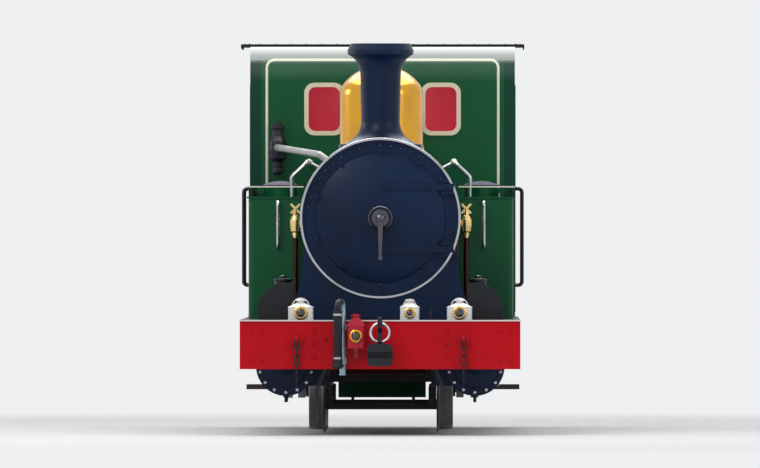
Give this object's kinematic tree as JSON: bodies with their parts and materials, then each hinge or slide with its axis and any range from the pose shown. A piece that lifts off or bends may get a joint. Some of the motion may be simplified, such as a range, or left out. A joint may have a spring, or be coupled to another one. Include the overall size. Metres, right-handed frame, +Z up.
{
  "type": "narrow-gauge side tank steam locomotive",
  "caption": "Narrow-gauge side tank steam locomotive with coupled wheels, outside cylinders, a hollow cab and a rear bunker; wheels, rods, door and lids move.",
  "frame": {"origin": "on the centre line, midway between the two coupler faces, level with the tips of the wheel flanges", "axes": "+X across the engine to the right of one who faces its smokebox, +Y along it from the smokebox end to the bunker end, +Z up"},
  "size_m": [2.224, 7.5, 3.021],
  "materials": {
    "frame_black": "semi-gloss black paint",
    "beam_red": "gloss signal red paint",
    "smokebox_black": "heat-resisting black paint",
    "engine_green": "gloss holly green paint",
    "wheel_red": "dark red-brown paint",
    "polished_brass": "polished",
    "bright_steel": "machined and oiled",
    "roof_black": "matt black paint",
    "cream_paint": "gloss cream paint",
    "lamp_white": "gloss white paint",
    "lamp_red": "gloss red paint",
    "window_glass": "clear",
    "floor_wood": "worn planks",
    "cast_iron": "painted casting"
  },
  "bodies": {
    "locomotive": {"axleboxes": "cast_iron", "boiler": "engine_green", "brake_gear": "frame_black", "buffer_beams": "beam_red", "cab_back": "engine_green", "cab_fittings": "polished_brass", "cab_floor": "floor_wood", "cab_front": "engine_green", "cab_roof": "roof_black", "cab_sides": "engine_green", "cab_steps": "frame_black", "chimney": "smokebox_black", "clack_valves": "polished_brass", "coal_bunker": "engine_green", "couplers": "cast_iron", "cylinders": "smokebox_black", "dome": "polished_brass", "ejector": "frame_black", "frame_stretchers": "frame_black", "handrails": "bright_steel", "lamps": "lamp_white", "main_frames": "frame_black", "red_lamp": "lamp_red", "running_plate": "frame_black", "safety_valves": "polished_brass", "sandboxes": "frame_black", "side_tanks": "engine_green", "slide_bars": "bright_steel", "smokebox": "smokebox_black", "smokebox_saddle": "smokebox_black", "splashers": "frame_black", "springs": "frame_black", "vacuum_pipes": "frame_black", "window_frames": "cream_paint", "window_glass": "window_glass"},
    "leading_wheels": {"leading_wheelset": "wheel_red"},
    "driving_wheels": {"driving_wheelset": "wheel_red"},
    "trailing_wheels": {"trailing_wheelset": "wheel_red"},
    "right_side_rod": {"right_coupling_rod": "bright_steel"},
    "left_side_rod": {"left_coupling_rod": "bright_steel"},
    "right_piston": {"right_crosshead": "bright_steel"},
    "left_piston": {"left_crosshead": "bright_steel"},
    "right_main_rod": {"right_connecting_rod": "bright_steel"},
    "left_main_rod": {"left_connecting_rod": "bright_steel"},
    "door": {"smokebox_door": "smokebox_black", "door_handles": "bright_steel"},
    "right_lid": {"right_filler_lid": "frame_black"},
    "left_lid": {"left_filler_lid": "frame_black"}
  },
  "joints": [
    {"name": "driving_wheels_turn", "type": "hinge", "parent": "locomotive", "child": "driving_wheels", "pos_m": [0, 0, 0.523], "axis": [1, 0, 0], "continuous": true},
    {"name": "leading_wheels_turn", "type": "hinge", "parent": "locomotive", "child": "leading_wheels", "pos_m": [0, -1.6, 0.523], "axis": [1, 0, 0], "continuous": true},
    {"name": "trailing_wheels_turn", "type": "hinge", "parent": "locomotive", "child": "trailing_wheels", "pos_m": [0, 1.6, 0.523], "axis": [1, 0, 0], "continuous": true},
    {"name": "right_side_rod_turn", "type": "hinge", "parent": "driving_wheels", "child": "right_side_rod", "pos_m": [0.606, 0.16157, 0.36143], "axis": [1, 0, 0], "continuous": true},
    {"name": "left_side_rod_turn", "type": "hinge", "parent": "driving_wheels", "child": "left_side_rod", "pos_m": [-0.606, -0.16157, 0.36143], "axis": [1, 0, 0], "continuous": true},
    {"name": "right_piston_slide", "type": "slide", "parent": "locomotive", "child": "right_piston", "axis": [0, 1, 0], "range_m": [-0.39786, 0.05914]},
    {"name": "right_main_rod_swing", "type": "hinge", "parent": "right_piston", "child": "right_main_rod", "pos_m": [0.72, -1.51064, 0.523], "axis": [1, 0, 0], "range_deg": [-2.3, 13.34]},
    {"name": "left_piston_slide", "type": "slide", "parent": "locomotive", "child": "left_piston", "axis": [0, 1, 0], "range_m": [-0.07471, 0.38229]},
    {"name": "left_main_rod_swing", "type": "hinge", "parent": "left_piston", "child": "left_main_rod", "pos_m": [-0.72, -1.83379, 0.523], "axis": [1, 0, 0], "range_deg": [-2.3, 13.34]},
    {"name": "smokebox_door_swing", "type": "hinge", "parent": "locomotive", "child": "door", "pos_m": [0.548, -2.862, 1.651], "axis": [0, 0, 1], "range_deg": [0, 150]},
    {"name": "right_filler_lid_lift", "type": "hinge", "parent": "locomotive", "child": "right_lid", "pos_m": [0.939, -1.49, 1.886], "axis": [0, 1, 0], "range_deg": [0, 110]},
    {"name": "left_filler_lid_lift", "type": "hinge", "parent": "locomotive", "child": "left_lid", "pos_m": [-0.939, -1.49, 1.886], "axis": [0, -1, 0], "range_deg": [0, 110]}
  ],
  "couplings": [
    {"joint": "leading_wheels_turn", "follows": "driving_wheels_turn", "ratio": 1},
    {"joint": "trailing_wheels_turn", "follows": "driving_wheels_turn", "ratio": 1},
    {"joint": "right_side_rod_turn", "follows": "driving_wheels_turn", "ratio": -1},
    {"joint": "left_side_rod_turn", "follows": "driving_wheels_turn", "ratio": -1}
  ]
}
